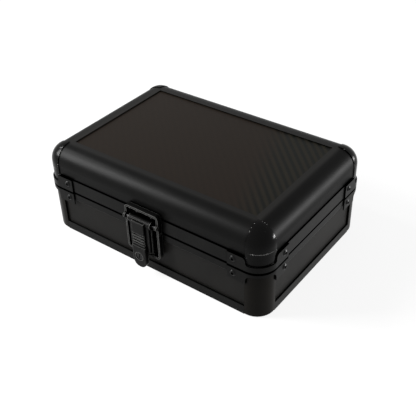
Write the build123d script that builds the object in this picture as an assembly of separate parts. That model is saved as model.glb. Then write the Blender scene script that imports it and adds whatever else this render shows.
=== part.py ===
from build123d import *
import os

# Aluminium-framed storage case for graded trading cards.
# Millimetres, +Z up. The origin is the middle of the footprint on the floor,
# the front (with the latch) faces -Y, the hinges are at the back and +X is the right end.
# The case is built from extrusions that hold thin panels, with pressed corners riveted on.
# Depths are counted inward from the outer face of the rims, along the side that is built.

# Overall sizes, rim face to rim face and floor to the top of the lid frame
case_length = 270.0
case_width = 185.0
case_height = 98.0
parting_height = 54.0
parting_gap = 0.8

# Rims, the bands that meet at the parting line
rim_corner_radius = 19.0
base_rim_height = 9.5
lid_rim_height = 15.8
rim_wall = 1.5
rim_skirt = 14.0
rim_tongue = 3.0
tongue_gap = 0.2
lid_lip_rise = 6.0

# Outer faces of the other pieces, as depths from the rim face
lid_edge_depth = 1.0
foot_depth = 0.4
panel_depth = 2.4

# Panels and the grooves that hold them
panel_thick = 3.0
groove_gap = 0.05
groove_wall = 1.4
groove_reach = 2.0

# Rounded lid edge extrusions
edge_wall = 1.6
edge_lip = 5.3
edge_lip_thick = 1.2
edge_web_thick = 1.4
edge_groove = 4.6
top_panel_gap = 0.5

# Corner posts and foot rails
post_leg = 21.0
post_wall = 1.2
post_foot_round = 1.8
strip_cover = 1.0
foot_height = 10.0
foot_wall = 1.2
foot_web = 12.0
foot_round = 0.8
end_gap = 0.1

# Pressed corner brackets, one above and one below the parting line at each corner
bracket_thick = 1.4
bracket_leg = 38.5
lid_strip_height = 7.4
base_strip_height = 4.9
base_bracket_height = 14.0
notch_half = 18.9
notch_round = 2.6
shoulder_round = 5.2
post_notch_round = 5.0

# Ball-shaped lid corner caps, pressed sheet over the ends of the extrusions
cap_sheet = 0.8
cap_gap = 0.05
cap_reach = 20.2
tongue_half = 18.4
tongue_round = 3.5
cap_seat_gap = 0.3

# Rivets
rivet_place = 32.3
lid_rivet_rise = 9.2
base_rivet_drop = 7.4
rivet_head = 3.3
rivet_dome = 1.6
small_rivet_dome = 0.8
rivet_shank = 1.2
rivet_grip = 3.4
hole_gap = 0.1

# Hinges on the back
hinge_inset = 60.0
hinge_width = 34.0
hinge_leaf = 1.5
hinge_axis_out = 3.6
knuckle_radius = 3.3
knuckle_width = 17.0
knuckle_gap = 0.3
pin_radius = 1.5
pin_head = 2.4
pin_head_thick = 1.0
pin_run_gap = 0.05
pin_fixed_gap = 0.02
lower_leaf_height = 9.2
upper_leaf_height = 15.0
hinge_rivet_side = 10.5
hinge_rivet_head = 2.0
lower_hinge_rivet = 6.6
upper_hinge_rivet = 10.0

# Latch on the front, a hasp hanging from the lid plate over the base plate
latch_half = 20.5
latch_sheet = 1.2
latch_wall = 2.0
latch_stand = 5.5
latch_round = 4.0
lid_plate_rise = 21.0
base_plate_drop = 30.5
plate_gap = 0.4
base_notch_half = 9.5
hasp_pivot_rise = 9.0
hasp_pivot_out = 6.0
ear_radius = 2.8
hasp_barrel = 4.0
hasp_brim_half = 13.4
hasp_crown_half = 11.6
hasp_brim_back = 5.6
hasp_brim_front = 7.2
hasp_wall = 1.5
hasp_front = 9.6
hasp_rise = 12.0
hasp_drop = 24.0
strap_half = 7.4
strap_front = 12.2
strap_rise = 11.0
grip_groove = 1.8
grip_pitch = 3.4
grip_count = 4
grip_depth = 1.0
grip_start = 3.8
tab_half = 7.8
tab_back = 8.0
tab_front = 13.2
tab_start = 17.5
tab_drop = 43.0
tab_end_round = 7.2
face_round = 1.0
hasp_pin_radius = 1.2
lock_drop = 29.6
lock_radius = 4.6
lock_core_radius = 4.2
lock_sleeve_radius = 6.0
lock_sleeve_back = 5.4
lock_face_recess = 0.5
key_slot_width = 1.1
key_slot_length = 5.2
key_slot_depth = 6.0
cam_back = 2.0
cam_thick = 1.2
cam_half = 2.2
cam_length = 9.0
keeper_start = 5.6
keeper_end = 12.5
keeper_rise = 4.0
keeper_gap = 0.5
keeper_thick = 1.2
latch_rivet_head = 1.9
lid_latch_rivet_side = 9.0
lid_latch_rivet_low = 3.4
lid_latch_rivet_high = 12.2
base_latch_rivet_side = 15.8
base_latch_rivet_drop = 5.5

# Foam lining and the card bays
lining_gap = 0.2
foam_floor = 3.0
foam_top_below_parting = 2.0
bay_width = 20.5
bay_length = 138.0
bay_count = 9
divider_thick = 5.0
divider_groove = 3.0
divider_gap = 0.1
divider_below_top = 4.0
lid_pad_thick = 3.0
lid_pad_inset = 0.4

# Places worked out from the sizes above
half_length = case_length / 2
half_width = case_width / 2
base_top = parting_height - parting_gap / 2
lid_bottom = parting_height + parting_gap / 2
base_rim_bottom = parting_height - base_rim_height
lid_rim_top = parting_height + lid_rim_height
rim_depth = panel_depth + panel_thick + 2 * groove_gap + groove_wall
rim_inner_wall = rim_depth - groove_wall
rim_end = post_leg + end_gap
edge_radius = rim_corner_radius - lid_edge_depth
ball_height = case_height - edge_radius
lip_end = rim_corner_radius + edge_lip
top_panel_top = case_height - edge_lip_thick - groove_gap
top_panel_bottom = top_panel_top - panel_thick
cap_inner_radius = edge_radius + cap_gap
cap_outer_radius = cap_inner_radius + cap_sheet
ledge_bottom = panel_thick + groove_gap
ledge_top = ledge_bottom + foot_wall
lining_depth = rim_depth + lining_gap
lining_radius = rim_corner_radius - lining_depth
foam_top = parting_height - foam_top_below_parting
foam_bottom = ledge_top + groove_gap
bay_floor = foam_bottom + foam_floor
bay_pitch = bay_width + divider_thick
bays_length = bay_count * bay_width + (bay_count - 1) * divider_thick
hinge_axis_y = half_width + hinge_axis_out
hinge_place = half_length - hinge_inset
front = -half_width
pivot_y = front - hasp_pivot_out
pivot_z = parting_height + hasp_pivot_rise
lock_z = parting_height - lock_drop
strip_bottom = parting_height - base_strip_height
lid_strip_top = parting_height + lid_strip_height

# The four sides: name, turn about Z, half length along the side, distance of its rim face
sides = [
    ("front", 0, half_length, half_width),
    ("right", 90, half_width, half_length),
    ("back", 180, half_length, half_width),
    ("left", 270, half_width, half_length),
]

# The four corners: name and the sense of X and Y there
corners = [
    ("front_left", -1, -1),
    ("front_right", 1, -1),
    ("back_right", 1, 1),
    ("back_left", -1, 1),
]


def box(x0, x1, y0, y1, z0, z1):
    return Pos((x0 + x1) / 2, (y0 + y1) / 2, (z0 + z1) / 2) * Box(x1 - x0, y1 - y0, z1 - z0)


def rod_x(radius, x0, x1, y, z):
    return Pos((x0 + x1) / 2, y, z) * Rot(0, 90, 0) * Cylinder(radius, x1 - x0)


def rod_y(radius, y0, y1, x, z):
    return Pos(x, (y0 + y1) / 2, z) * Rot(90, 0, 0) * Cylinder(radius, y1 - y0)


def side_profile(faces, half, reach):
    """Extrude faces drawn as (depth, height) along the front side and centre them on it."""
    plane = Plane(origin=(-half, -reach, 0), x_dir=(0, 1, 0), z_dir=(1, 0, 0))
    return extrude(plane * faces, 2 * half)


def strip(depth0, depth1, z0, z1):
    return Pos((depth0 + depth1) / 2, (z0 + z1) / 2) * Rectangle(depth1 - depth0, z1 - z0)


def corner_place(solid, sx, sy):
    """Put a piece drawn at the near left corner, (0, 0) being the crossing of the rim faces."""
    if sx > 0:
        solid = mirror(solid, Plane.YZ)
    if sy > 0:
        solid = mirror(solid, Plane.XZ)
    return Pos(sx * half_length, sy * half_width, 0) * solid


def corner_sector(radius, reach, z0, z1):
    """A square at the corner, with its outer corner rounded about the shared corner centre."""
    start = rim_corner_radius - radius
    far = reach + radius
    block = box(start, far, start, far, z0, z1)
    edge = block.edges().filter_by(Axis.Z).sort_by(lambda e: e.center().X + e.center().Y)[0]
    return fillet(edge, radius) & box(start - 1, reach, start - 1, reach, z0 - 1, z1 + 1)


def corner_shell(outer_radius, inner_radius, reach, z0, z1):
    """A wall that follows the rounded corner and runs straight along both sides to reach."""
    return corner_sector(outer_radius, reach, z0, z1) - corner_sector(inner_radius, reach + 1, z0 - 1, z1 + 1)


def from_both_sides(outline):
    """What lies inside an outline (distance from the corner, height) seen from both sides."""
    seen_front = extrude(Plane.XZ * outline, case_length, both=True)
    seen_side = extrude(Plane.YZ * outline, case_length, both=True)
    return seen_front & seen_side


def make_base_rim(half, reach):
    """Channel over the edge of the side panel, with a tongue that rises into the lid."""
    outer = strip(0, rim_wall, base_rim_bottom, base_top)
    lip = strip(0, panel_depth, base_rim_bottom, base_rim_bottom + rim_wall)
    web = strip(0, rim_depth, base_top - rim_wall, base_top)
    inner = strip(rim_inner_wall, rim_depth, parting_height - rim_skirt, parting_height + rim_tongue)
    face = outer + lip + web + inner
    soft = face.vertices().sort_by(lambda v: v.X + v.Y)[0]
    face = fillet(soft, rim_wall - 0.1)
    return side_profile(face, half - rim_end, reach)


def make_lid_rim(half, reach):
    """Box channel on the base rim, with a lip that the rounded edge is set against."""
    inner_face = rim_inner_wall - tongue_gap
    outer = strip(0, rim_wall, lid_bottom, lid_rim_top)
    bottom = strip(0, inner_face, lid_bottom, lid_bottom + rim_wall)
    top = strip(0, inner_face, lid_rim_top - rim_wall, lid_rim_top)
    inner = strip(inner_face - groove_wall, inner_face, lid_bottom, lid_rim_top + lid_lip_rise)
    return side_profile(outer + bottom + top + inner, half - rim_end, reach)


def make_lid_edge(half, reach):
    """Rounded extrusion from the lid rim to the top panel, mitred over the corner."""
    inner_radius = edge_radius - edge_wall
    seat = rim_inner_wall - tongue_gap - groove_wall - groove_gap
    centre = (rim_corner_radius, ball_height)
    wall = strip(lid_edge_depth, lid_edge_depth + edge_wall, lid_rim_top + groove_gap, ball_height)
    foot = strip(lid_edge_depth, seat, lid_rim_top + groove_gap, lid_rim_top + edge_wall)
    quarter = Pos(*centre) * (Circle(edge_radius) - Circle(inner_radius))
    quarter &= strip(lid_edge_depth, rim_corner_radius, ball_height, case_height)
    lip = strip(rim_corner_radius, lip_end, case_height - edge_lip_thick, case_height)
    groove_end = lip_end - edge_groove
    web_top = top_panel_bottom - groove_gap
    web = strip(groove_end - groove_wall, lip_end, web_top - edge_web_thick, web_top)
    stop = strip(groove_end - groove_wall, groove_end, web_top - edge_web_thick, case_height - edge_lip_thick / 2)
    run = side_profile(wall + foot + quarter + lip + web + stop, half, reach)
    for sense in (-1, 1):
        end = sense * half
        square = box(-rim_corner_radius, rim_corner_radius, -1, rim_corner_radius, 0, 2 * case_height)
        run -= Pos(end, -reach, 0) * square
        outline = make_face(Polyline((0, 0), (lip_end + 1, lip_end + 1), (0, lip_end + 1), close=True))
        wedge = extrude(outline, 2 * case_height)
        if sense > 0:
            wedge = mirror(wedge, Plane.YZ)
        run -= Pos(end, -reach, 0) * wedge
    return run


def make_panel(half, reach):
    """Side panel of the base, standing in the foot rail, the two posts and the rim."""
    inset = post_leg - groove_reach
    face = -reach + panel_depth + groove_gap
    return box(-(half - inset), half - inset, face, face + panel_thick, ledge_top + groove_gap,
               base_top - rim_wall - groove_gap)


def make_foot_rail(half, reach):
    """Bottom extrusion: a low wall outside the panels, with a ledge over the floor panel."""
    outer = strip(foot_depth, panel_depth, 0, foot_height)
    web = strip(foot_depth, foot_depth + foot_web, ledge_bottom, ledge_top)
    inner = strip(rim_inner_wall, rim_inner_wall + foot_wall, ledge_bottom, foot_height)
    face = outer + web + inner
    soft = face.vertices().sort_by(lambda v: v.X + v.Y)[0]
    face = fillet(soft, foot_round)
    return side_profile(face, half - rim_end, reach)


def make_corner_post():
    """Round corner extrusion with a groove for each panel and a hollow between them."""
    radius = rim_corner_radius - foot_depth
    inner = rim_corner_radius - rim_depth
    post = corner_shell(radius, inner, post_leg, 0, base_top)
    rim = post.faces().sort_by(Axis.Z)[0].edges().filter_by(GeomType.CIRCLE).sort_by(lambda e: e.radius)[-1]
    legs = post.faces().sort_by(Axis.Z)[0].edges().filter_by(GeomType.LINE)
    outer_edges = [e for e in legs if min(e.center().X, e.center().Y) < foot_depth + 0.01]
    post = fillet([rim] + outer_edges, post_foot_round)
    head = corner_shell(rim_corner_radius, radius - post_wall, post_leg, strip_bottom + strip_cover, base_top)
    post += head
    groove_end = post_leg - groove_reach - end_gap
    low = panel_depth
    high = panel_depth + panel_thick + 2 * groove_gap
    post -= box(groove_end, post_leg + 1, low, high, -1, base_top + 1)
    post -= box(low, high, groove_end, post_leg + 1, -1, base_top + 1)
    hollow = corner_shell(radius - post_wall, inner + post_wall, groove_end - post_wall, -1, strip_bottom)
    return post - hollow


def make_lid_joint():
    """Corner block inside the lid frame that the rims and the cap are fixed to."""
    inner = rim_corner_radius - rim_depth
    block = corner_shell(edge_radius, inner, post_leg, lid_bottom, ball_height)
    foot = corner_shell(rim_corner_radius, inner, post_leg, lid_bottom, lid_strip_top - cap_seat_gap)
    hollow = corner_shell(edge_radius - post_wall, inner + post_wall, post_leg - post_wall, lid_bottom + post_wall,
                          ball_height + 1)
    block = block + foot - hollow
    keep_off = lid_rim_top - tongue_gap
    under_edge = box(rim_corner_radius - end_gap, post_leg + 1, -1, rim_depth + 1, keep_off, case_height)
    beside_edge = box(-1, rim_depth + 1, rim_corner_radius - end_gap, post_leg + 1, keep_off, case_height)
    return block - under_edge - beside_edge


def make_lid_cap():
    """Ball corner of pressed sheet, with a tongue that hangs down into the bracket."""
    def rounded(radius, top):
        start = rim_corner_radius - radius
        block = box(start, 3 * rim_corner_radius, start, 3 * rim_corner_radius, lid_strip_top, top)
        near = block.edges().sort_by(lambda e: e.center().X + e.center().Y)
        upright = near.filter_by(Axis.Z)[0]
        along_x = block.edges().filter_by(Axis.X).sort_by(lambda e: e.center().Y - e.center().Z)[0]
        along_y = block.edges().filter_by(Axis.Y).sort_by(lambda e: e.center().X - e.center().Z)[0]
        return fillet([upright, along_x, along_y], radius)

    outer = rounded(cap_outer_radius, ball_height + cap_outer_radius)
    inner = rounded(cap_inner_radius, ball_height + cap_inner_radius)
    shell = outer - inner
    upper = box(-1, cap_reach, -1, cap_reach, lid_rim_top + groove_gap, 2 * case_height)
    drop = lid_rim_top + 2 * tongue_round - lid_strip_top
    outline = Pos(tongue_half - case_length / 2, lid_strip_top + drop / 2) * RectangleRounded(
        case_length, drop, tongue_round)
    return shell & (upper + from_both_sides(outline))


def make_lid_bracket():
    """Bracket above the parting line, notched round the tongue of the corner cap."""
    sheet = corner_shell(rim_corner_radius + bracket_thick, rim_corner_radius, bracket_leg, lid_bottom, lid_rim_top)
    floor = lid_strip_top - hole_gap
    with BuildSketch() as notch:
        with BuildLine():
            Polyline((-case_length, floor), (notch_half, floor), (notch_half, lid_rim_top),
                     (notch_half + shoulder_round, lid_rim_top), (notch_half + shoulder_round, case_height),
                     (-case_length, case_height), close=True)
        make_face()
        low = notch.vertices().sort_by_distance((notch_half, floor))[0]
        fillet(low, notch_round)
        high = notch.vertices().sort_by_distance((notch_half, lid_rim_top))[0]
        fillet(high, shoulder_round - 0.1)
    return sheet - from_both_sides(notch.sketch)


def make_base_bracket():
    """Bracket below the parting line, with a round-topped notch over the post."""
    bottom = parting_height - base_bracket_height
    sheet = corner_shell(rim_corner_radius + bracket_thick, rim_corner_radius, bracket_leg, bottom, base_top)
    height = strip_bottom
    outline = Pos(notch_half - case_length / 2, height / 2) * RectangleRounded(case_length, height, post_notch_round)
    return sheet - from_both_sides(outline)


def rivet_y(x, z, face, sense, head, dome, shank, grip):
    """Dome-headed rivet standing out of a face that looks along sense * Y."""
    ball = (head * head + dome * dome) / (2 * dome)
    cap = Pos(x, face + sense * (dome - ball), z) * Sphere(ball)
    cap &= rod_y(head + 1, min(face, face + sense * dome), max(face, face + sense * dome), x, z)
    body = rod_y(shank, min(face, face - sense * grip), max(face, face - sense * grip), x, z)
    return cap + body


def bracket_rivets(z):
    """The two rivets of one bracket, drawn at the near left corner."""
    front_rivet = rivet_y(rivet_place, z, -bracket_thick, -1, rivet_head, rivet_dome, rivet_shank, rivet_grip)
    return [front_rivet, mirror(front_rivet, Plane(origin=(0, 0, 0), z_dir=(1, -1, 0)))]


def bracket_holes(z):
    """Clearance holes for the rivets of one bracket."""
    radius = rivet_shank + hole_gap
    front_hole = rod_y(radius, -bracket_thick - 1, rivet_grip, rivet_place, z)
    return front_hole + mirror(front_hole, Plane(origin=(0, 0, 0), z_dir=(1, -1, 0)))


def make_knuckles(spans):
    barrel = None
    for x0, x1 in spans:
        piece = rod_x(knuckle_radius, x0, x1, hinge_axis_y, parting_height)
        barrel = piece if barrel is None else barrel + piece
    return barrel


def make_lower_leaf(x):
    """Lower hinge leaf on the base rim, with the two outer knuckles."""
    half = hinge_width / 2
    inner = knuckle_width / 2
    knuckles = make_knuckles([(x - half, x - inner - knuckle_gap), (x + inner + knuckle_gap, x + half)])
    plate = box(x - half, x + half, half_width, half_width + hinge_leaf, parting_height - lower_leaf_height,
                parting_height - knuckle_gap)
    plate -= rod_x(knuckle_radius + knuckle_gap, x - inner - knuckle_gap, x + inner + knuckle_gap, hinge_axis_y,
                   parting_height)
    leaf = plate + knuckles
    leaf -= rod_x(pin_radius + pin_fixed_gap, x - half - 1, x + half + 1, hinge_axis_y, parting_height)
    for sense in (-1, 1):
        leaf -= rod_y(rivet_shank + hole_gap, half_width - 1, half_width + 2 * hinge_leaf,
                      x + sense * hinge_rivet_side, parting_height - lower_hinge_rivet)
    return leaf


def make_upper_leaf(x):
    """Upper hinge leaf on the lid rim, with the middle knuckle."""
    half = hinge_width / 2
    inner = knuckle_width / 2
    plate = box(x - half, x + half, half_width, half_width + hinge_leaf, parting_height + knuckle_gap,
                parting_height + upper_leaf_height)
    for x0, x1 in ((x - half - 1, x - inner), (x + inner, x + half + 1)):
        plate -= rod_x(knuckle_radius + knuckle_gap, x0, x1, hinge_axis_y, parting_height)
    leaf = plate + make_knuckles([(x - inner, x + inner)])
    leaf -= rod_x(pin_radius + pin_run_gap, x - half - 1, x + half + 1, hinge_axis_y, parting_height)
    for sense in (-1, 1):
        leaf -= rod_y(rivet_shank + hole_gap, half_width - 1, half_width + 2 * hinge_leaf,
                      x + sense * hinge_rivet_side, parting_height + upper_hinge_rivet)
    return leaf


def make_hinge_pin(x):
    half = hinge_width / 2
    pin = rod_x(pin_radius, x - half, x + half, hinge_axis_y, parting_height)
    for sense in (-1, 1):
        start = x + sense * half
        end = start + sense * pin_head_thick
        pin += rod_x(pin_head, min(start, end), max(start, end), hinge_axis_y, parting_height)
    return pin


def hinge_rivets(z):
    """Four rivets through the hinge leaves at one height."""
    rivets = []
    for x in (-hinge_place, hinge_place):
        for sense in (-1, 1):
            rivets.append(rivet_y(x + sense * hinge_rivet_side, z, half_width + hinge_leaf, 1, hinge_rivet_head,
                                  small_rivet_dome, rivet_shank, rivet_grip))
    return rivets


def hinge_holes(z):
    holes = None
    for x in (-hinge_place, hinge_place):
        for sense in (-1, 1):
            hole = rod_y(rivet_shank + hole_gap, half_width - rivet_grip, half_width + 1,
                         x + sense * hinge_rivet_side, z)
            holes = hole if holes is None else holes + hole
    return holes


def latch_rivet_places(side, heights):
    return [(sense * side, z) for sense in (-1, 1) for z in heights]


def latch_holes(places, radius):
    holes = None
    for x, z in places:
        hole = rod_y(radius, front - latch_stand, front + rivet_grip, x, z)
        holes = hole if holes is None else holes + hole
    return holes


def latch_rivets(places):
    return [rivet_y(x, z, front - latch_sheet, -1, latch_rivet_head, small_rivet_dome, rivet_shank, rivet_grip)
            for x, z in places]


def latch_cup(z0, z1, open_at_top):
    """Pressed plate with a raised wall round three sides, its outer corners rounded."""
    with BuildSketch(Plane.XZ) as outline:
        with Locations((0, (z0 + z1) / 2)):
            Rectangle(2 * latch_half, z1 - z0)
        ends = outline.vertices().sort_by(Axis.Z)
        fillet(ends[:2] if open_at_top else ends[-2:], latch_round)
    with BuildSketch(Plane.XZ) as pocket:
        low = z0 + latch_wall if open_at_top else z0 - 1
        high = z1 + 1 if open_at_top else z1 - latch_wall
        with Locations((0, (low + high) / 2)):
            Rectangle(2 * (latch_half - latch_wall), high - low)
        ends = pocket.vertices().sort_by(Axis.Z)
        fillet(ends[:2] if open_at_top else ends[-2:], latch_round - latch_wall)
    block = Pos(0, front, 0) * extrude(outline.sketch, latch_stand)
    rim = block.faces().sort_by(Axis.Y)[0].outer_wire().edges()
    top = [e for e in rim if (e.center().Z < z1 - 0.01 if open_at_top else e.center().Z > z0 + 0.01)]
    block = fillet(top, latch_wall / 2 - 0.1)
    return block - Pos(0, front - latch_sheet, 0) * extrude(pocket.sketch, latch_stand)


def make_latch_lid_plate(places):
    """Cup on the lid rim whose side walls carry the hasp's pin."""
    cup = latch_cup(parting_height + plate_gap, parting_height + lid_plate_rise, False)
    for sense in (-1, 1):
        x0 = min(sense * latch_half, sense * (latch_half - latch_wall))
        ear = rod_x(ear_radius, x0, x0 + latch_wall, pivot_y, pivot_z)
        ear += box(x0, x0 + latch_wall, pivot_y, front, pivot_z - ear_radius, pivot_z + ear_radius)
        cup += ear
    cup -= rod_x(hasp_pin_radius + pin_fixed_gap, -latch_half - 1, latch_half + 1, pivot_y, pivot_z)
    return cup - latch_holes(places, rivet_shank + hole_gap)


def make_latch_base_plate(places):
    """Cup on the base, set back onto the panel, with a keeper for the lock's cam."""
    bottom = parting_height - base_plate_drop
    cup = latch_cup(bottom, parting_height - plate_gap, True)
    skirt = box(-latch_half + latch_round, latch_half - latch_round, front, front + panel_depth, bottom,
                bottom + latch_wall)
    cup += skirt
    cup -= box(-base_notch_half, base_notch_half, front - latch_stand - 1, front + panel_depth + 1, bottom - 1,
               bottom + latch_wall)
    shelf = cam_back + cam_thick + keeper_gap
    keeper_face = front - shelf - keeper_thick
    cup += box(keeper_start, keeper_end, keeper_face, front - shelf, bottom, lock_z + keeper_rise)
    cup += box(keeper_end - keeper_thick, keeper_end, keeper_face, front, bottom, lock_z + keeper_rise)
    return cup - latch_holes(places, rivet_shank + hole_gap)


def plane_box(half, out0, out1, z0, z1):
    """A block across the middle of the front, between two distances out from the rim face."""
    return box(-half, half, front - out1, front - out0, z0, z1)


def make_hasp():
    """Pressed lever with a barrel round the pin, a raised strap with finger grooves and a tab for the lock."""
    bottom = parting_height - hasp_drop
    brim = plane_box(hasp_brim_half, hasp_brim_back, hasp_brim_front, bottom, pivot_z)
    crown = plane_box(hasp_crown_half, hasp_brim_back, hasp_front, bottom, parting_height + hasp_rise)
    crown = fillet(crown.faces().sort_by(Axis.Y)[0].edges(), face_round)
    strap = plane_box(strap_half, tab_back, strap_front, bottom, parting_height + strap_rise)
    strap = fillet(strap.faces().sort_by(Axis.Y)[0].edges(), face_round)
    for i in range(grip_count):
        z = parting_height - grip_start - i * grip_pitch
        strap -= plane_box(strap_half + 1, strap_front - grip_depth, strap_front + 1, z - grip_groove / 2,
                           z + grip_groove / 2)
    lever = brim + crown + strap + rod_x(hasp_barrel, -hasp_brim_half, hasp_brim_half, pivot_y, pivot_z)
    hollow_top = pivot_z - hasp_barrel - hasp_wall
    lever -= plane_box(hasp_crown_half - hasp_wall, 0, hasp_front - hasp_wall, bottom + hasp_wall, hollow_top)
    tab = plane_box(tab_half, tab_back, tab_front, parting_height - tab_drop, parting_height - tab_start)
    tab = fillet(tab.edges().filter_by(Axis.Y).sort_by(Axis.Z)[:2], tab_end_round)
    tab = fillet(tab.faces().sort_by(Axis.Y)[0].edges(), face_round)
    lever += tab
    sleeve_front = front - hasp_front - hasp_wall
    lever -= rod_y(lock_sleeve_radius + pin_fixed_gap, sleeve_front, front, 0, lock_z)
    lever -= rod_y(lock_radius + pin_fixed_gap, front - tab_front - 1, sleeve_front + 1, 0, lock_z)
    lever -= rod_x(hasp_pin_radius + pin_run_gap, -hasp_brim_half - 1, hasp_brim_half + 1, pivot_y, pivot_z)
    return lever


def make_hasp_pin():
    return rod_x(hasp_pin_radius, -latch_half, latch_half, pivot_y, pivot_z)


def make_lock_housing():
    """Sleeve set into the back of the hasp's tab, in which the lock core turns."""
    start = front - hasp_front - hasp_wall + pin_fixed_gap
    sleeve = rod_y(lock_sleeve_radius, start, front - lock_sleeve_back, 0, lock_z)
    return sleeve - rod_y(lock_core_radius + pin_run_gap, start - 1, front, 0, lock_z)


def make_lock_core():
    """Turning core with a key slot in its face and a cam on its inner end."""
    face = front - tab_front + lock_face_recess
    core = rod_y(lock_core_radius, face, front - cam_back, 0, lock_z)
    slot_end = face + key_slot_depth
    core -= box(-key_slot_width / 2, key_slot_width / 2, face - 1, slot_end, lock_z - key_slot_length / 2,
                lock_z + key_slot_length / 2)
    cam = box(-cam_half, cam_half, front - cam_back - cam_thick, front - cam_back, lock_z - cam_length, lock_z)
    tip = cam.edges().filter_by(Axis.Y).sort_by(Axis.Z)[:2]
    return core + fillet(tip, cam_half - 0.2)


def make_top_panel():
    """Lid panel, slid into the grooves of the four rounded edges."""
    inset = lip_end - edge_groove + top_panel_gap
    length = 2 * (half_length - inset)
    width = 2 * (half_width - inset)
    return Pos(0, 0, (top_panel_top + top_panel_bottom) / 2) * Box(length, width, panel_thick)


def make_bottom_panel():
    """Floor panel under the ledges of the foot rails, cut out round the four posts."""
    inset = panel_depth + groove_gap
    plate = Pos(0, 0, panel_thick / 2) * Box(2 * (half_length - inset), 2 * (half_width - inset), panel_thick)
    around_post = corner_shell(rim_corner_radius, lining_radius, rim_end, -1, panel_thick + 1)
    beyond = box(-1, rim_corner_radius, -1, rim_corner_radius, -1, panel_thick + 1) - corner_sector(
        lining_radius, rim_end, -2, panel_thick + 2)
    for _, sx, sy in corners:
        plate -= corner_place(around_post + beyond, sx, sy)
    return plate


def divider_places():
    first = -bays_length / 2 + bay_width + divider_thick / 2
    return [first + i * bay_pitch for i in range(bay_count - 1)]


def make_foam_tray():
    """Foam lining cut out for the row of card bays, with grooves for the dividers."""
    tray = Box(2 * (half_length - lining_depth), 2 * (half_width - lining_depth), foam_top - foam_bottom)
    tray = fillet(tray.edges().filter_by(Axis.Z), lining_radius)
    tray = Pos(0, 0, (foam_top + foam_bottom) / 2) * tray
    tray -= box(-bays_length / 2, bays_length / 2, -bay_length / 2, bay_length / 2, bay_floor, foam_top + 1)
    reach = bay_length / 2 + divider_groove
    for x in divider_places():
        tray -= box(x - divider_thick / 2 - divider_gap, x + divider_thick / 2 + divider_gap, -reach, reach, bay_floor,
                    foam_top + 1)
    return tray


def make_dividers():
    """Foam plates between the card bays, standing in the tray's grooves."""
    reach = bay_length / 2 + divider_groove - divider_gap
    return [box(x - divider_thick / 2, x + divider_thick / 2, -reach, reach, bay_floor + divider_gap,
                foam_top - divider_below_top) for x in divider_places()]


def make_lid_pad():
    """Foam sheet under the top panel that keeps the cards from lifting."""
    inset = lip_end + lid_pad_inset
    top = top_panel_bottom - groove_gap
    return box(-(half_length - inset), half_length - inset, -(half_width - inset), half_width - inset,
               top - lid_pad_thick, top)


def group(solids):
    return Compound(children=solids)


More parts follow.
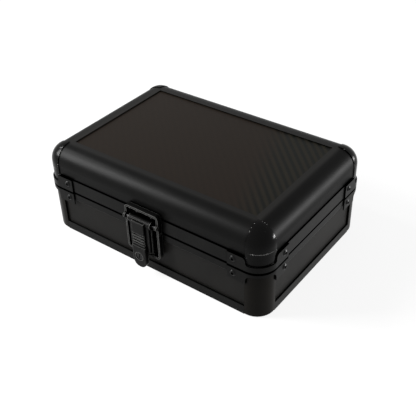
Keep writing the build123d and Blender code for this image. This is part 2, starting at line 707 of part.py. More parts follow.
def build_pieces():
    pieces = {}
    lid_rivet_z = parting_height + lid_rivet_rise
    base_rivet_z = parting_height - base_rivet_drop
    hinge_low_z = parting_height - lower_hinge_rivet
    hinge_high_z = parting_height + upper_hinge_rivet
    lid_latch_heights = (parting_height + lid_latch_rivet_low, parting_height + lid_latch_rivet_high)
    lid_latch_places = latch_rivet_places(lid_latch_rivet_side, lid_latch_heights)
    base_latch_places = latch_rivet_places(base_latch_rivet_side, (parting_height - base_latch_rivet_drop,))

    lid_corner_holes = None
    base_corner_holes = None
    for name, sx, sy in corners:
        lid_pair = corner_place(bracket_holes(lid_rivet_z), sx, sy)
        base_pair = corner_place(bracket_holes(base_rivet_z), sx, sy)
        lid_corner_holes = lid_pair if lid_corner_holes is None else lid_corner_holes + lid_pair
        base_corner_holes = base_pair if base_corner_holes is None else base_corner_holes + base_pair

    pieces["base_bottom_panel"] = make_bottom_panel()
    pieces["lid_top_panel"] = make_top_panel()
    for name, turn, half, reach in sides:
        spin = Rot(0, 0, turn)
        pieces["base_" + name + "_panel"] = spin * make_panel(half, reach)
        pieces["base_foot_rail_" + name] = spin * make_foot_rail(half, reach)
        pieces["base_rim_" + name] = spin * make_base_rim(half, reach) - base_corner_holes
        pieces["lid_rim_" + name] = spin * make_lid_rim(half, reach) - lid_corner_holes
        pieces["lid_edge_" + name] = spin * make_lid_edge(half, reach)
    pieces["base_rim_back"] -= hinge_holes(hinge_low_z)
    pieces["lid_rim_back"] -= hinge_holes(hinge_high_z)
    pieces["lid_rim_front"] -= latch_holes(lid_latch_places, rivet_shank + hole_gap)
    pieces["base_rim_front"] -= latch_holes(base_latch_places, rivet_shank + hole_gap)

    post = make_corner_post()
    cap = make_lid_cap()
    lid_bracket = make_lid_bracket() - bracket_holes(lid_rivet_z)
    base_bracket = make_base_bracket() - bracket_holes(base_rivet_z)
    joint = make_lid_joint()
    joints = []
    lid_rivets = []
    base_rivets = []
    for name, sx, sy in corners:
        pieces["base_corner_post_" + name] = corner_place(post, sx, sy)
        pieces["base_corner_bracket_" + name] = corner_place(base_bracket, sx, sy)
        pieces["lid_corner_bracket_" + name] = corner_place(lid_bracket, sx, sy)
        pieces["lid_corner_cap_" + name] = corner_place(cap, sx, sy)
        joints.append(corner_place(joint, sx, sy))
        lid_rivets += [corner_place(rivet, sx, sy) for rivet in bracket_rivets(lid_rivet_z)]
        base_rivets += [corner_place(rivet, sx, sy) for rivet in bracket_rivets(base_rivet_z)]
    pieces["lid_corner_joints"] = group(joints)
    pieces["lid_bracket_rivets"] = group(lid_rivets)
    pieces["base_bracket_rivets"] = group(base_rivets)

    for name, x in (("left", -hinge_place), ("right", hinge_place)):
        pieces["hinge_lower_leaf_" + name] = make_lower_leaf(x)
        pieces["hinge_upper_leaf_" + name] = make_upper_leaf(x)
    pieces["hinge_pins"] = group([make_hinge_pin(-hinge_place), make_hinge_pin(hinge_place)])
    pieces["hinge_lower_rivets"] = group(hinge_rivets(hinge_low_z))
    pieces["hinge_upper_rivets"] = group(hinge_rivets(hinge_high_z))

    pieces["latch_lid_plate"] = make_latch_lid_plate(lid_latch_places)
    pieces["latch_lid_rivets"] = group(latch_rivets(lid_latch_places))
    pieces["latch_base_plate"] = make_latch_base_plate(base_latch_places)
    pieces["latch_base_rivets"] = group(latch_rivets(base_latch_places))
    pieces["latch_hasp"] = make_hasp()
    pieces["latch_hasp_pin"] = make_hasp_pin()
    pieces["lock_housing"] = make_lock_housing()
    pieces["lock_core"] = make_lock_core()

    pieces["foam_tray"] = make_foam_tray()
    pieces["bay_dividers"] = group(make_dividers())
    pieces["lid_foam_pad"] = make_lid_pad()
    return pieces


os.makedirs("parts", exist_ok=True)
for node, shape in build_pieces().items():
    export_step(shape, "parts/" + node + ".step")
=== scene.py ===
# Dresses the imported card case: finishes, foam, latch plates, studio, lights and camera
import math
import bmesh
import bpy
from mathutils import Matrix, Vector, noise as value_noise


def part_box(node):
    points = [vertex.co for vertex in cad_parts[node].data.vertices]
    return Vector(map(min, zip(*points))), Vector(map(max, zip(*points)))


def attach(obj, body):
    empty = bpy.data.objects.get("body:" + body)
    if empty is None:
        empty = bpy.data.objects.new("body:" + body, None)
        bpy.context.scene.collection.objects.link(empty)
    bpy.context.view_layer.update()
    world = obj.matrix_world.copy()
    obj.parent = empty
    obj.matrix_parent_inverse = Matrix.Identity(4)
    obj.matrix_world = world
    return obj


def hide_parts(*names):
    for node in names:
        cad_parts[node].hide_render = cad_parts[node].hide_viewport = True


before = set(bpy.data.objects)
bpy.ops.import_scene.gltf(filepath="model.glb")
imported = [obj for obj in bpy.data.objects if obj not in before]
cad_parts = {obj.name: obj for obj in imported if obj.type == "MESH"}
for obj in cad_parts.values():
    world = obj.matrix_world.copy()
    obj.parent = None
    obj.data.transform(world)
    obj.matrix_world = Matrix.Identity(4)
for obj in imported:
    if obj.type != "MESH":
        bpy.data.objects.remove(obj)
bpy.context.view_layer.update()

# Where the photograph was taken from, in degrees and metres, and the lens that gives its perspective
CAMERA_AZIMUTH = 37.54
CAMERA_ELEVATION = 36.45
CAMERA_ROLL = -1.77
CAMERA_DISTANCE = 0.754
CAMERA_SLIDE = (0.00475, -0.0241)
CAMERA_AIM_HEIGHT = 0.0486
CAMERA_CLIP = (0.01, 50.0)
FOCAL_PIXELS = 719.8
PHOTO_PIXELS = 416.0
SENSOR_WIDTH = 36.0

# Studio: where the lamps stand and aim, the fill from all round, and the floor with its own faint glow
LAMP_DISTANCE = 1.3
LAMP_AIM = (0.0, 0.0, 0.05)
FILL_STRENGTH = 0.35
FLOOR_HALF = 6.0
FLOOR_DROP = 0.0002
FLOOR_TONE = 0.86
FLOOR_GLOW = 1.07
FLOOR_GLOW_SHARE = 0.8

# Lid panel stripes: their period and angle, and where they grow clear along X, which Y slants
STRIPE_PERIOD = 0.0069
STRIPE_ANGLE = math.radians(-45.0)
STRIPE_RIBS = 8.0
STRIPE_FADE = (0.052, 0.092)
STRIPE_FADE_SLANT = 0.35
STRIPE_FAINTEST = 0.1

# Fine grain and slow cloudiness of the black metals: texture scales, and how far tone and roughness stray
GRAIN_SCALE = 2600.0
GRAIN_STRETCH = 0.03
CLOUD_SCALE = 34.0
TONE_SPREAD = (0.8, 1.25)
SMOOTHER = 0.05
ROUGHER = 0.16

# Painted shade: how far and how steeply seams and corners are painted dark; the latch's longer reach paints
# shade deeper into its recesses
PAINTED_SHADE_REACH = 0.003
LATCH_PAINTED_SHADE_REACH = 0.008
PAINTED_SHADE_POWER = 1.5
NEARNESS_SAMPLES = 8

# Edges lightened partly as wear and partly as a painted highlight: their width and strength, how unevenly
# they show, and the scale and rarity of the chips and painted glints
WEAR_AND_HIGHLIGHT_REACH = 0.0007
WEAR_AND_HIGHLIGHT_GAIN = 2.0
WEAR_AND_HIGHLIGHT_SCALE = 420.0
WEAR_AND_HIGHLIGHT_SPREAD = (0.3, 1.5)
CHIP_AND_GLINT_SPOTS = (620.0, 0.56)
CHIP_AND_GLINT_PATCHES = (110.0, 0.55)

# Shadow lines: height and half width, at the parting and under the edge strips, and how they fade
PARTING_LINE = (0.054, 0.00135)
EDGE_SEAM_LINE = (0.0698, 0.0007)
LINE_FADE = (0.6, 1.3)

# Painted highlight on the lip of the edge strips beside the top panel: its distance from the middle, and its
# outward fade
LIP_HIGHLIGHT_BORDER = (0.1107, 0.0682)
LIP_HIGHLIGHT_FADE = (0.004, 0.009)

# Painted shade on the crowns of the rivet heads: how squarely a point faces outward, from rim to crown, and
# how dark
CROWN_SHADE_FADE = (0.88, 0.97)
CROWN_SHADE_DEPTH = 0.9

# Mesh work: points taken as one, points on a cut, and angles that count as flat or as sharp
SAME_POINT = 1e-6
ON_CUT = 1e-7
FLAT_ANGLE = math.radians(1.0)
SHARP_ANGLE = math.radians(30.0)

# Foam pieces: the rounding of cut edges, the mesh they are shaped on, and how uneven the cut faces are
FOAM_ROUND = 0.0014
FOAM_GRID = 0.006
FOAM_UNEVEN = 0.00035
FOAM_NOISE_SCALE = 90.0

# Latch plates: sheet, raised wall, outer corners, and the facets of round shapes in degrees
LATCH_SHEET = 0.0012
LATCH_WALL = 0.002
LATCH_ROUND = 0.004
LATCH_STAND = 0.0055
ARC_STEP = 10
CUT_PAST = 0.001

# Lid plate's ears with the pin's hole, and the base plate's notch, skirt and keeper
EAR_RADIUS = 0.0028
PIN_HOLE = 0.00122
PIN_HOLE_SIDES = 40
NOTCH_HALF = 0.0095
SKIRT_DEPTH = 0.0024
KEEPER_X = (0.0056, 0.0125)
KEEPER_THICK = 0.0012
KEEPER_BACK = 0.0037
KEEPER_RISE = 0.004

# Press line round the foot of each ball corner: its place and bead, and the arc it covers in degrees
CAP_RADIUS = 0.01885
CREASE_HEIGHT = 0.0752
CREASE_RADIUS = 0.00045
CREASE_SUNK = 0.55
CREASE_STEPS = 14
CREASE_START = 6.0
CREASE_SWEEP = 78.0
CREASE_END_WIDTH = 0.6


def shader_material(name):
    """A node material with its shader, and a position input in metres of the model's frame."""
    material = bpy.data.materials.new(name)
    material.use_nodes = True
    tree = material.node_tree
    tree.nodes.clear()
    output = tree.nodes.new("ShaderNodeOutputMaterial")
    shader = tree.nodes.new("ShaderNodeBsdfPrincipled")
    tree.links.new(shader.outputs["BSDF"], output.inputs["Surface"])
    place = tree.nodes.new("ShaderNodeTexCoord")
    return material, tree, shader, place.outputs["Object"]


def dress(tree, shader, colour, roughness, normal):
    """Links what gives a surface its colour, roughness and relief."""
    for socket, value in (("Base Color", colour), ("Roughness", roughness), ("Normal", normal)):
        tree.links.new(value, shader.inputs[socket])


def stretched(tree, place, scale, turn=(0.0, 0.0, 0.0)):
    """The position, turned and scaled, for textures that run one way."""
    mapping = tree.nodes.new("ShaderNodeMapping")
    mapping.inputs["Scale"].default_value = scale
    mapping.inputs["Rotation"].default_value = turn
    tree.links.new(place, mapping.inputs["Vector"])
    return mapping.outputs["Vector"]


def along_axes(tree, vector):
    """The X, Y and Z parts of a vector."""
    split = tree.nodes.new("ShaderNodeSeparateXYZ")
    tree.links.new(vector, split.inputs["Vector"])
    return split.outputs


def noise(tree, vector, scale, detail=3.0, rough=0.55):
    """Cloudy noise from 0 to 1."""
    texture = tree.nodes.new("ShaderNodeTexNoise")
    texture.inputs["Scale"].default_value = scale
    texture.inputs["Detail"].default_value = detail
    texture.inputs["Roughness"].default_value = rough
    tree.links.new(vector, texture.inputs["Vector"])
    return texture.outputs["Fac"]


def ramp(tree, value, low, high, low_at=0.3, high_at=0.7):
    """Maps a value between two colours."""
    node = tree.nodes.new("ShaderNodeValToRGB")
    node.color_ramp.elements[0].position = low_at
    node.color_ramp.elements[0].color = (*low, 1.0)
    node.color_ramp.elements[1].position = high_at
    node.color_ramp.elements[1].color = (*high, 1.0)
    tree.links.new(value, node.inputs["Fac"])
    return node.outputs["Color"]


def span(tree, value, low, high):
    """Maps a value from 0..1 to low..high."""
    node = tree.nodes.new("ShaderNodeMapRange")
    node.inputs["To Min"].default_value = low
    node.inputs["To Max"].default_value = high
    tree.links.new(value, node.inputs["Value"])
    return node.outputs["Result"]


def eased(tree, value, fade, low=0.0, high=1.0):
    """Turns smoothly from low to high while a value crosses a stretch."""
    node = tree.nodes.new("ShaderNodeMapRange")
    node.interpolation_type = "SMOOTHSTEP"
    node.inputs["From Min"].default_value = fade[0]
    node.inputs["From Max"].default_value = fade[1]
    node.inputs["To Min"].default_value = low
    node.inputs["To Max"].default_value = high
    tree.links.new(value, node.inputs["Value"])
    return node.outputs["Result"]


def bump(tree, height, distance, strength, normal=None):
    """Fine relief from a height, on top of other relief where given."""
    node = tree.nodes.new("ShaderNodeBump")
    node.inputs["Distance"].default_value = distance
    node.inputs["Strength"].default_value = strength
    tree.links.new(height, node.inputs["Height"])
    if normal is not None:
        tree.links.new(normal, node.inputs["Normal"])
    return node.outputs["Normal"]


def math_node(tree, operation, first, second=0.0):
    """One step of arithmetic on numbers or sockets."""
    node = tree.nodes.new("ShaderNodeMath")
    node.operation = operation
    for socket, value in zip(node.inputs, (first, second)):
        if isinstance(value, (int, float)):
            socket.default_value = value
        else:
            tree.links.new(value, socket)
    return node.outputs["Value"]


def blend(tree, factor, first, second):
    """Mixes two colours, each a constant or a socket."""
    node = tree.nodes.new("ShaderNodeMix")
    node.data_type = "RGBA"
    tree.links.new(factor, node.inputs[0])
    for socket, value in ((node.inputs[6], first), (node.inputs[7], second)):
        if isinstance(value, tuple):
            socket.default_value = (*value, 1.0)
        else:
            tree.links.new(value, socket)
    return node.outputs[2]


def nearness(tree, reach, inside=False):
    """1 where nothing else is near, or where the piece is thick, falling towards 0."""
    node = tree.nodes.new("ShaderNodeAmbientOcclusion")
    node.samples = NEARNESS_SAMPLES
    node.inside = inside
    node.inputs["Distance"].default_value = reach
    return node.outputs["AO"]


def painted_crevice_shade(tree, reach):
    """1 on open faces, falling towards 0 in seams and corners, where shade is painted."""
    return math_node(tree, "POWER", nearness(tree, reach), PAINTED_SHADE_POWER)


def worn_lit_edge(tree):
    """0 on flat faces, rising towards 1 along edges that stand out, which are lightened partly as wear and
    partly as a painted highlight.
    """
    away = math_node(tree, "SUBTRACT", 1.0, nearness(tree, WEAR_AND_HIGHLIGHT_REACH, inside=True))
    return math_node(tree, "MINIMUM", math_node(tree, "MULTIPLY", away, WEAR_AND_HIGHLIGHT_GAIN), 1.0)


def chip_and_glint_spots(tree, place):
    """1 in a few small spots, where edges are lightened as chipped coating and as painted glints, and 0
    elsewhere.
    """
    spots, patches = (math_node(tree, "GREATER_THAN", noise(tree, place, scale, detail=2.0), rarity)
                      for scale, rarity in (CHIP_AND_GLINT_SPOTS, CHIP_AND_GLINT_PATCHES))
    return math_node(tree, "MULTIPLY", spots, patches)


def shadow_line(tree, place, height, half):
    """1 away from a level line round the case, falling to 0 at it, where rounded rims turn into a gap."""
    off = math_node(tree, "SUBTRACT", along_axes(tree, place)["Z"], height)
    return eased(tree, math_node(tree, "ABSOLUTE", off), [share * half for share in LINE_FADE])


def crown_shade(tree):
    """Painted shade on a round head that faces sideways: most on its crown, falling to 0 towards its rim."""
    place = tree.nodes.new("ShaderNodeTexCoord")
    facing = along_axes(tree, place.outputs["Normal"])
    outward = math_node(tree, "MAXIMUM", math_node(tree, "ABSOLUTE", facing["X"]),
                        math_node(tree, "ABSOLUTE", facing["Y"]))
    return eased(tree, outward, CROWN_SHADE_FADE, high=CROWN_SHADE_DEPTH)


def lip_highlight(tree, place):
    """1 on the thin lip of the edge strips beside the top panel, where a highlight is painted, falling to 0
    on their round.
    """
    spot = along_axes(tree, place)
    past = [math_node(tree, "SUBTRACT", math_node(tree, "ABSOLUTE", spot[axis]), border)
            for axis, border in zip("XY", LIP_HIGHLIGHT_BORDER)]
    return eased(tree, math_node(tree, "MAXIMUM", *past), LIP_HIGHLIGHT_FADE, low=1.0, high=0.0)


def satin_metal(name, tone, roughness, grain_axis=None, specular=0.05, wear_and_highlight=None, in_chips_and_glints=False,
                lines=(), shaded_crown=False, lip_highlight_colour=None, reach=PAINTED_SHADE_REACH):
    """Black coated metal, grained along one axis or all over, with painted shade in seams, and with edges
    lightened where asked, partly as wear and partly as a painted highlight.
    """
    material, tree, shader, place = shader_material(name)
    grain = stretched(tree, place, [GRAIN_STRETCH if axis == grain_axis else 1.0 for axis in "XYZ"])
    fine = noise(tree, grain, GRAIN_SCALE, detail=2.0)
    cloud = noise(tree, place, CLOUD_SCALE, detail=4.0)
    low, high = ([c * spread for c in tone] for spread in TONE_SPREAD)
    colour = ramp(tree, cloud, low, high)
    # Edges lightened, partly as wear and partly as a painted highlight
    if wear_and_highlight:
        edge = worn_lit_edge(tree)
        if in_chips_and_glints:
            where = chip_and_glint_spots(tree, place)
        else:
            where = span(tree, noise(tree, place, WEAR_AND_HIGHLIGHT_SCALE), *WEAR_AND_HIGHLIGHT_SPREAD)
        colour = blend(tree, math_node(tree, "MULTIPLY", edge, where), colour, wear_and_highlight)
    # Painted shade in seams and corners, and along the shadow lines
    unshaded_share = painted_crevice_shade(tree, reach)
    for height, half in lines:
        unshaded_share = math_node(tree, "MULTIPLY", unshaded_share, shadow_line(tree, place, height, half))
    # Painted shade on the crowns of rivet heads
    if shaded_crown:
        unshaded_share = math_node(tree, "MULTIPLY", unshaded_share, math_node(tree, "SUBTRACT", 1.0, crown_shade(tree)))
    # Painted highlight along the lip of the edge strips
    if lip_highlight_colour:
        colour = blend(tree, lip_highlight(tree, place), colour, lip_highlight_colour)
    black = (0.0, 0.0, 0.0)
    white = (1.0, 1.0, 1.0)
    uneven = math_node(tree, "MULTIPLY", fine, cloud)
    dress(tree, shader, blend(tree, unshaded_share, black, colour),
          span(tree, uneven, roughness - SMOOTHER, roughness + ROUGHER),
          bump(tree, fine, distance=0.00002, strength=0.35))
    # Where shade is painted the surface turns to black metal without a tint, which reflects nothing, so the
    # painted shade stays dark at grazing angles too
    tree.links.new(math_node(tree, "SUBTRACT", 1.0, unshaded_share), shader.inputs["Metallic"])
    tree.links.new(blend(tree, unshaded_share, black, white), shader.inputs["Specular Tint"])
    shader.inputs["Specular IOR Level"].default_value = specular
    return material


def side_laminate():
    """Fine-grained black laminate of the side panels."""
    material, tree, shader, place = shader_material("side_laminate")
    pebble = noise(tree, place, scale=1500.0, rough=0.6)
    cloud = noise(tree, place, scale=26.0)
    dress(tree, shader, ramp(tree, cloud, low=(0.0065, 0.0062, 0.0058), high=(0.0095, 0.009, 0.0082)),
          span(tree, pebble, low=0.38, high=0.56), bump(tree, pebble, distance=0.00005, strength=0.4))
    shader.inputs["Specular IOR Level"].default_value = 0.06
    return material


def waves(tree, across, period):
    """Even waves from 0 to 1, one for each period."""
    wave = math_node(tree, "SINE", math_node(tree, "MULTIPLY", across, 2.0 * math.pi / period))
    return math_node(tree, "ADD", math_node(tree, "MULTIPLY", wave, 0.5), 0.5)


def top_laminate():
    """Lid laminate: soft diagonal stripes, clear at the right and faint elsewhere, over a fine grain."""
    material, tree, shader, place = shader_material("top_laminate")
    across = along_axes(tree, stretched(tree, place, (1.0, 1.0, 1.0), (0.0, 0.0, STRIPE_ANGLE)))["X"]
    stripe = waves(tree, across, STRIPE_PERIOD)
    ribs = waves(tree, across, STRIPE_PERIOD / STRIPE_RIBS)
    spot = along_axes(tree, place)
    slanted = math_node(tree, "ADD", spot["X"], math_node(tree, "MULTIPLY", spot["Y"], STRIPE_FADE_SLANT))
    strength = eased(tree, slanted, STRIPE_FADE, low=STRIPE_FAINTEST)
    swing = math_node(tree, "MULTIPLY", math_node(tree, "SUBTRACT", stripe, 0.5), strength)
    shown = math_node(tree, "ADD", swing, 0.5)
    grain = noise(tree, place, scale=1700.0, rough=0.6)
    faint = ramp(tree, shown, (0.0050, 0.0032, 0.0021), (0.0142, 0.0094, 0.0062), low_at=0.1, high_at=0.9)
    clear = ramp(tree, shown, (0.0022, 0.0026, 0.0018), (0.0104, 0.0092, 0.0062), low_at=0.1, high_at=0.9)
    relief = bump(tree, shown, distance=0.00012, strength=0.5)
    relief = bump(tree, ribs, distance=0.00003, strength=0.4, normal=relief)
    relief = bump(tree, grain, distance=0.00004, strength=0.35, normal=relief)
    dress(tree, shader, blend(tree, strength, faint, clear),
          span(tree, math_node(tree, "MULTIPLY", grain, shown), low=0.42, high=0.6), relief)
    shader.inputs["Specular IOR Level"].default_value = 0.06
    return material


def foam_material():
    """Black closed-cell foam: matt, with small cells cut open on its faces."""
    material, tree, shader, place = shader_material("cell_foam")
    cells = tree.nodes.new("ShaderNodeTexVoronoi")
    cells.inputs["Scale"].default_value = 1400.0
    tree.links.new(place, cells.inputs["Vector"])
    depth = cells.outputs["Distance"]
    cloud = noise(tree, place, scale=60.0, detail=4.0)
    dress(tree, shader, ramp(tree, cloud, low=(0.016, 0.016, 0.017), high=(0.03, 0.03, 0.031)),
          span(tree, depth, low=0.8, high=0.98), bump(tree, depth, distance=0.00025, strength=0.7))
    shader.inputs["Sheen Weight"].default_value = 0.15
    shader.inputs["Specular IOR Level"].default_value = 0.25
    return material


def moulded_plastic():
    """Black moulded plastic with a fine pitted texture."""
    material, tree, shader, place = shader_material("moulded_plastic")
    pits = noise(tree, place, scale=1900.0, detail=2.0)
    cloud = noise(tree, place, scale=50.0)
    dress(tree, shader, ramp(tree, cloud, low=(0.012, 0.012, 0.012), high=(0.02, 0.02, 0.021)),
          span(tree, pits, low=0.5, high=0.7), bump(tree, pits, distance=0.00004, strength=0.5))
    return material


def steel(name, tone):
    """Dark steel with fine marks drawn out along X."""
    material, tree, shader, place = shader_material(name)
    fine = noise(tree, stretched(tree, place, (0.05, 1.0, 1.0)), scale=2400.0, detail=2.0)
    dress(tree, shader, ramp(tree, fine, [c * 0.75 for c in tone], tone),
          span(tree, fine, low=0.25, high=0.45), bump(tree, fine, distance=0.00002, strength=0.4))
    shader.inputs["Metallic"].default_value = 1.0
    return material


def all_finishes():
    """Every finish of the case, under its name."""
    black = (0.0045, 0.0045, 0.0043)
    both = (PARTING_LINE, EDGE_SEAM_LINE)
    seam = (EDGE_SEAM_LINE,)
    finishes = [
        satin_metal("extrusion_x", black, roughness=0.3, grain_axis="X", lines=both),
        satin_metal("extrusion_y", black, roughness=0.3, grain_axis="Y", lines=both),
        satin_metal("corner_post", (0.004, 0.0033, 0.0024), roughness=0.3, grain_axis="Z", lines=both),
        # The front and side edge strips are lit and shaded copies of one finish: their tones and lip colours
        # differ to paint how differently the light falls on the two sides
        satin_metal("lid_extrusion_x", (0.0022, 0.0022, 0.0021), roughness=0.38, grain_axis="X",
                    specular=0.06, lines=seam, lip_highlight_colour=(0.008, 0.0078, 0.0074)),
        satin_metal("lid_extrusion_y", (0.0018, 0.0018, 0.0017), roughness=0.45, grain_axis="Y",
                    specular=0.047, lines=seam, lip_highlight_colour=(0.013, 0.0127, 0.012)),
        satin_metal("pressed_sheet", (0.0022, 0.0022, 0.0021), roughness=0.19, specular=0.06,
                    wear_and_highlight=(0.3, 0.3, 0.29), in_chips_and_glints=True),
        satin_metal("bracket_sheet", black, roughness=0.3, lines=both),
        satin_metal("rivet_heads", (0.003, 0.003, 0.003), roughness=0.28, specular=0.15, shaded_crown=True),
        # Painted shade reaches further on the latch, deeper into its recesses
        satin_metal("coated_latch", (0.005, 0.005, 0.0048), roughness=0.3, wear_and_highlight=(0.15, 0.15, 0.145),
                    reach=LATCH_PAINTED_SHADE_REACH),
        side_laminate(),
        top_laminate(),
        foam_material(),
        moulded_plastic(),
        steel("blackened_steel", (0.03, 0.03, 0.031)),
        steel("lock_steel", (0.018, 0.018, 0.018)),
        # The press line's light tone is a painted highlight, for the bead's edge catching the light
        satin_metal("lit_press_line", (0.07, 0.07, 0.068), roughness=0.3, specular=0.4),
    ]
    return {finish.name: finish for finish in finishes}


def finish_of(name):
    """The name of the finish that a node gets."""
    run = "x" if name.endswith(("front", "back")) else "y"
    if name == "lid_top_panel":
        finish = "top_laminate"
    elif name.endswith("_panel"):
        finish = "side_laminate"
    elif name in ("foam_tray", "bay_dividers", "lid_foam_pad"):
        finish = "cell_foam"
    elif name == "lid_corner_joints":
        finish = "moulded_plastic"
    elif name in ("hinge_pins", "latch_hasp_pin"):
        finish = "blackened_steel"
    elif name == "lock_core":
        finish = "lock_steel"
    elif name.startswith("base_corner_post"):
        finish = "corner_post"
    elif name.endswith("_rivets"):
        finish = "rivet_heads"
    elif name.startswith("lid_edge"):
        finish = "lid_extrusion_" + run
    elif "_corner_bracket_" in name:
        finish = "bracket_sheet"
    elif name.startswith(("base_rim", "base_foot", "lid_rim")):
        finish = "extrusion_" + run
    elif name.startswith(("latch", "lock", "hinge")):
        finish = "coated_latch"
    else:
        finish = "pressed_sheet"
    return finish


def linked(name, data):
    """A new object in the scene."""
    piece = bpy.data.objects.new(name, data)
    bpy.context.collection.objects.link(piece)
    return piece


def welded(source):
    """The mesh of a CAD node with its split corners joined and its flat faces whole."""
    mesh = bmesh.new()
    mesh.from_mesh(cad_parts[source].data)
    bmesh.ops.remove_doubles(mesh, verts=mesh.verts, dist=SAME_POINT)
    bmesh.ops.dissolve_limit(mesh, angle_limit=FLAT_ANGLE, verts=mesh.verts, edges=mesh.edges)
    return mesh


def sliced(mesh, low, high):
    """Cuts the faces along a square grid, so that they can be shaped."""
    for axis in range(3):
        normal = Vector([1.0 if i == axis else 0.0 for i in range(3)])
        count = int((high[axis] - low[axis]) / FOAM_GRID)
        for i in range(1, count):
            point = normal * (low[axis] + i * (high[axis] - low[axis]) / count)
            everything = mesh.verts[:] + mesh.edges[:] + mesh.faces[:]
            bmesh.ops.bisect_plane(mesh, geom=everything, plane_co=point, plane_no=normal, dist=ON_CUT)


def foam_piece(name, source, body, foam):
    """Cut foam in place of a plain foam solid: rounded edges and slightly uneven faces."""
    mesh = welded(source)
    sharp = [e for e in mesh.edges if e.is_manifold and e.calc_face_angle(0.0) > SHARP_ANGLE]
    bmesh.ops.bevel(mesh, geom=sharp, offset=FOAM_ROUND, segments=3, profile=0.5, affect="EDGES",
                    clamp_overlap=True)
    sliced(mesh, *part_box(source))
    mesh.normal_update()
    for vertex in mesh.verts:
        inward = value_noise.noise(vertex.co * FOAM_NOISE_SCALE) * 0.5 + 0.5
        vertex.co -= vertex.normal * FOAM_UNEVEN * inward
    data = bpy.data.meshes.new(name)
    mesh.to_mesh(data)
    mesh.free()
    data.shade_smooth()
    data.materials.append(foam)
    piece = linked(name, data)
    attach(piece, body)
    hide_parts(source)


def tool_solid(mesh):
    """A closed mesh as an object, for the shaping of a latch plate."""
    bmesh.ops.recalc_face_normals(mesh, faces=mesh.faces)
    data = bpy.data.meshes.new("tool")
    mesh.to_mesh(data)
    mesh.free()
    return linked("tool", data)


def block(low, high):
    """A plain block between two corners."""
    mesh = bmesh.new()
    bmesh.ops.create_cube(mesh, size=1.0)
    for vertex in mesh.verts:
        vertex.co = [l + (c + 0.5) * (h - l) for l, c, h in zip(low, vertex.co, high)]
    return tool_solid(mesh)


def rod_along_x(radius, x0, x1, y, z):
    """A round bar along X."""
    mesh = bmesh.new()
    place = Matrix.Translation(((x0 + x1) / 2, y, z)) @ Matrix.Rotation(math.radians(90.0), 4, "Y")
    bmesh.ops.create_cone(mesh, cap_ends=True, segments=PIN_HOLE_SIDES, radius1=radius, radius2=radius,
                          depth=x1 - x0, matrix=place)
    return tool_solid(mesh)


def prism(near_outline, far_outline):
    """A solid between two like outlines."""
    mesh = bmesh.new()
    near = [mesh.verts.new(point) for point in near_outline]
    far = [mesh.verts.new(point) for point in far_outline]
    mesh.faces.new(near)
    mesh.faces.new(far)
    for i in range(len(near)):
        j = (i + 1) % len(near)
        mesh.faces.new((near[i], near[j], far[j], far[i]))
    return tool_solid(mesh)


def arc(start, end):
    """Angles from one to another, in even steps."""
    return [math.radians(angle) for angle in range(start, end + 1, ARC_STEP)]


def ear(x0, x1, y, z, back):
    """A plate round the pin, rounded at its near end and running back into the latch plate's wall."""
    outline = [(back, z + EAR_RADIUS)]
    outline += [(y + EAR_RADIUS * math.cos(t), z + EAR_RADIUS * math.sin(t)) for t in arc(90, 270)]
    outline += [(back, z - EAR_RADIUS)]
    return prism([(x0, *point) for point in outline], [(x1, *point) for point in outline])


def tray_block(half, straight, rounded, radius, y0, y1):
    """A block with two rounded corners at one end."""
    sense = math.copysign(1.0, rounded - straight)
    outline = [(-half, straight)]
    outline += [(-half + radius - radius * math.cos(t), rounded - sense * radius * (1.0 - math.sin(t)))
                for t in arc(0, 90)]
    outline += [(-x, z) for x, z in reversed(outline)]
    return prism([(x, y0, z) for x, z in outline], [(x, y1, z) for x, z in outline])


def shaped(piece, steps):
    """Adds and cuts solids one after another, and keeps only the result."""
    for operation, other in steps:
        change = piece.modifiers.new(operation, "BOOLEAN")
        change.operation = operation
        change.solver = "EXACT"
        change.object = other
    bpy.context.view_layer.update()
    result = bpy.data.meshes.new_from_object(piece.evaluated_get(bpy.context.evaluated_depsgraph_get()))
    for used in [piece] + [other for operation, other in steps]:
        bpy.data.objects.remove(used)
    return result


def latch_plate(source, body, straight, rounded, steps, finish):
    """One latch plate, open at the parting line, with its corners rounded at the other end."""
    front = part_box("latch_lid_plate")[1][1]
    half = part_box(source)[1][0]
    inward = math.copysign(1.0, straight - rounded)
    plate = tray_block(half, straight, rounded, LATCH_ROUND, front - LATCH_STAND, front)
    pocket = tray_block(half - LATCH_WALL, straight + inward * CUT_PAST, rounded + inward * LATCH_WALL,
                        LATCH_ROUND - LATCH_WALL, front - LATCH_STAND - CUT_PAST, front - LATCH_SHEET)
    data = shaped(plate, [("DIFFERENCE", pocket)] + steps)
    data.name = source + "_shape"
    data.materials.clear()
    data.materials.append(finish)
    data.shade_smooth()
    data.set_sharp_from_angle(angle=SHARP_ANGLE)
    piece = linked(source + "_shape", data)
    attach(piece, body)
    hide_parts(source)


def lid_latch_plate(finish):
    """The lid's latch plate, whose walls carry the hasp's pin in two ears."""
    low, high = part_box("latch_lid_plate")
    pin_low, pin_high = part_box("latch_hasp_pin")
    pin_y = (pin_low[1] + pin_high[1]) / 2
    pin_z = (pin_low[2] + pin_high[2]) / 2
    steps = [("UNION", ear(x, x + LATCH_WALL, pin_y, pin_z, high[1] - LATCH_SHEET / 2))
             for x in (-high[0], high[0] - LATCH_WALL)]
    hole = rod_along_x(PIN_HOLE, low[0] - CUT_PAST, high[0] + CUT_PAST, pin_y, pin_z)
    latch_plate("latch_lid_plate", "lid", low[2], high[2], steps + [("DIFFERENCE", hole)], finish)


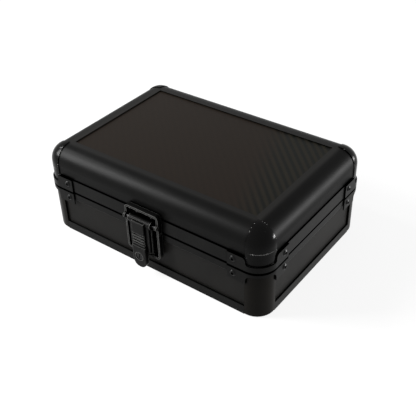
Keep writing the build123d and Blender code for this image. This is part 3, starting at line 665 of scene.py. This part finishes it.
def base_latch_plate(finish):
    """The base's latch plate, with its skirt, its notch and the keeper for the lock's cam."""
    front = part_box("latch_lid_plate")[1][1]
    low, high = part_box("latch_base_plate")
    bottom = low[2]
    skirt_half = high[0] - LATCH_ROUND
    lock_low, lock_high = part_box("lock_housing")
    keeper_top = (lock_low[2] + lock_high[2]) / 2 + KEEPER_RISE
    keeper_face = front - KEEPER_BACK - KEEPER_THICK
    steps = [
        ("UNION", block((-skirt_half, front, bottom),
                        (skirt_half, front + SKIRT_DEPTH, bottom + LATCH_WALL))),
        ("DIFFERENCE", block((-NOTCH_HALF, front - LATCH_STAND - CUT_PAST, bottom - CUT_PAST),
                             (NOTCH_HALF, front + SKIRT_DEPTH + CUT_PAST, bottom + LATCH_WALL))),
        ("UNION", block((KEEPER_X[0], keeper_face, bottom),
                        (KEEPER_X[1], front - KEEPER_BACK, keeper_top))),
        ("UNION", block((KEEPER_X[1] - KEEPER_THICK, keeper_face, bottom),
                        (KEEPER_X[1], front, keeper_top))),
    ]
    latch_plate("latch_base_plate", "base", high[2], bottom, steps, finish)


def cap_crease(corner, finish):
    """The press line round the foot of one ball corner, as a thin bead that runs out at both ends."""
    low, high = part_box("lid_corner_cap_" + corner)
    sx = 1 if corner.endswith("right") else -1
    sy = 1 if corner.startswith("back") else -1
    outer_x = high[0] if sx > 0 else low[0]
    outer_y = high[1] if sy > 0 else low[1]
    centre = Vector((outer_x - sx * CAP_RADIUS, outer_y - sy * CAP_RADIUS, CREASE_HEIGHT))
    curve = bpy.data.curves.new("cap_crease_" + corner, "CURVE")
    curve.dimensions = "3D"
    curve.bevel_depth = CREASE_RADIUS
    curve.bevel_resolution = 3
    curve.use_fill_caps = True
    spline = curve.splines.new("NURBS")
    spline.points.add(CREASE_STEPS)
    reach = CAP_RADIUS - CREASE_RADIUS * CREASE_SUNK
    for i, point in enumerate(spline.points):
        angle = math.radians(CREASE_START + CREASE_SWEEP * i / CREASE_STEPS)
        out = Vector((sx * math.cos(angle), sy * math.sin(angle), 0.0)) * reach
        point.co = (*(centre + out), 1.0)
        point.radius = CREASE_END_WIDTH + (1.0 - CREASE_END_WIDTH) * math.sin(math.pi * i / CREASE_STEPS)
    spline.order_u = 3
    spline.use_endpoint_u = True
    curve.materials.append(finish)
    piece = linked("cap_crease_" + corner, curve)
    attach(piece, "lid")


def seen_rays(tree):
    """1 for camera, glossy and transmitted rays, and 0 for the rays that only light things."""
    path = tree.nodes.new("ShaderNodeLightPath")
    rays = math_node(tree, "MAXIMUM", path.outputs["Is Camera Ray"], path.outputs["Is Glossy Ray"])
    return math_node(tree, "MAXIMUM", rays, path.outputs["Is Transmission Ray"])


def white_background():
    """White for the rays that show it, a weaker fill for the rest."""
    world = bpy.data.worlds.new("studio")
    bpy.context.scene.world = world
    world.use_nodes = True
    tree = world.node_tree
    tree.nodes.clear()
    output = tree.nodes.new("ShaderNodeOutputWorld")
    seen = tree.nodes.new("ShaderNodeBackground")
    fill = tree.nodes.new("ShaderNodeBackground")
    mix = tree.nodes.new("ShaderNodeMixShader")
    seen.inputs["Color"].default_value = (1.0, 1.0, 1.0, 1.0)
    fill.inputs["Color"].default_value = (1.0, 1.0, 1.0, 1.0)
    fill.inputs["Strength"].default_value = FILL_STRENGTH
    tree.links.new(seen_rays(tree), mix.inputs["Fac"])
    tree.links.new(fill.outputs["Background"], mix.inputs[1])
    tree.links.new(seen.outputs["Background"], mix.inputs[2])
    tree.links.new(mix.outputs["Shader"], output.inputs["Surface"])


def pale_floor():
    """A large pale floor that keeps a soft shadow of the case."""
    mesh = bpy.data.meshes.new("floor")
    corners = [(-FLOOR_HALF, -FLOOR_HALF, 0), (FLOOR_HALF, -FLOOR_HALF, 0),
               (FLOOR_HALF, FLOOR_HALF, 0), (-FLOOR_HALF, FLOOR_HALF, 0)]
    mesh.from_pydata(corners, [], [(0, 1, 2, 3)])
    floor = linked("floor", mesh)
    floor.location.z = -FLOOR_DROP
    material = bpy.data.materials.new("pale_floor")
    material.use_nodes = True
    tree = material.node_tree
    tree.nodes.clear()
    output = tree.nodes.new("ShaderNodeOutputMaterial")
    matt = tree.nodes.new("ShaderNodeBsdfDiffuse")
    glow = tree.nodes.new("ShaderNodeEmission")
    mix = tree.nodes.new("ShaderNodeMixShader")
    matt.inputs["Color"].default_value = (FLOOR_TONE, FLOOR_TONE, FLOOR_TONE, 1.0)
    glow.inputs["Strength"].default_value = FLOOR_GLOW
    tree.links.new(math_node(tree, "MULTIPLY", seen_rays(tree), FLOOR_GLOW_SHARE), mix.inputs["Fac"])
    tree.links.new(matt.outputs["BSDF"], mix.inputs[1])
    tree.links.new(glow.outputs["Emission"], mix.inputs[2])
    tree.links.new(mix.outputs["Shader"], output.inputs["Surface"])
    mesh.materials.append(material)


def area_light(name, place, aim, size, power):
    """One rectangular lamp that faces a point."""
    light = bpy.data.lights.new(name, "AREA")
    light.shape = "RECTANGLE"
    light.size, light.size_y = size
    light.energy = power
    lamp = linked(name, light)
    lamp.location = place
    lamp.rotation_euler = (Vector(aim) - Vector(place)).to_track_quat("-Z", "Y").to_euler()


def studio_lights():
    """Soft lamps round the case: name, azimuth, elevation, width and height, and power."""
    lamps = [
        ("key_left", 218.0, 31.0, (0.4, 0.7), 24.5),
        ("low_back_right", 45.0, 5.0, (0.5, 0.22), 10.0),
        ("glint_right", 33.0, 1.5, (0.19, 0.16), 9.0),
        ("glint_left", 193.0, 41.0, (0.05, 0.3), 4.0),
    ]
    for name, azimuth, elevation, size, power in lamps:
        az, el = math.radians(azimuth), math.radians(elevation)
        out = Vector((math.cos(el) * math.cos(az), math.cos(el) * math.sin(az), math.sin(el)))
        area_light(name, Vector(LAMP_AIM) + LAMP_DISTANCE * out, LAMP_AIM, size, power)


def photo_camera():
    """The camera at the photograph's place, built from its azimuth, elevation and roll."""
    az, el, roll = (math.radians(v) for v in (CAMERA_AZIMUTH, CAMERA_ELEVATION, CAMERA_ROLL))
    back = Vector((math.sin(az) * math.cos(el), -math.cos(az) * math.cos(el), math.sin(el)))
    right = Vector((math.cos(az), math.sin(az), 0.0))
    up = back.cross(right)
    right_turned = right * math.cos(roll) + up * math.sin(roll)
    up_turned = up * math.cos(roll) - right * math.sin(roll)
    place = right_turned * CAMERA_SLIDE[0] + up_turned * CAMERA_SLIDE[1] + back * CAMERA_DISTANCE
    place.z += CAMERA_AIM_HEIGHT
    data = bpy.data.cameras.new("photo_camera")
    data.sensor_width = SENSOR_WIDTH
    data.lens = FOCAL_PIXELS / PHOTO_PIXELS * SENSOR_WIDTH
    data.clip_start, data.clip_end = CAMERA_CLIP
    camera = linked("photo_camera", data)
    turn = Matrix((right_turned, up_turned, back)).transposed().to_4x4()
    camera.matrix_world = Matrix.Translation(place) @ turn
    bpy.context.scene.camera = camera


finishes = all_finishes()
for name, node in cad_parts.items():
    node.data.materials.clear()
    node.data.materials.append(finishes[finish_of(name)])
foam_piece("foam_lining", "foam_tray", "base", finishes["cell_foam"])
foam_piece("foam_dividers", "bay_dividers", "base", finishes["cell_foam"])
foam_piece("lid_foam", "lid_foam_pad", "lid", finishes["cell_foam"])
lid_latch_plate(finishes["coated_latch"])
base_latch_plate(finishes["coated_latch"])
for corner in ("front_left", "front_right", "back_right", "back_left"):
    cap_crease(corner, finishes["lit_press_line"])
white_background()
pale_floor()
studio_lights()
photo_camera()
bpy.context.scene.view_settings.view_transform = "Standard"
bpy.context.view_layer.update()
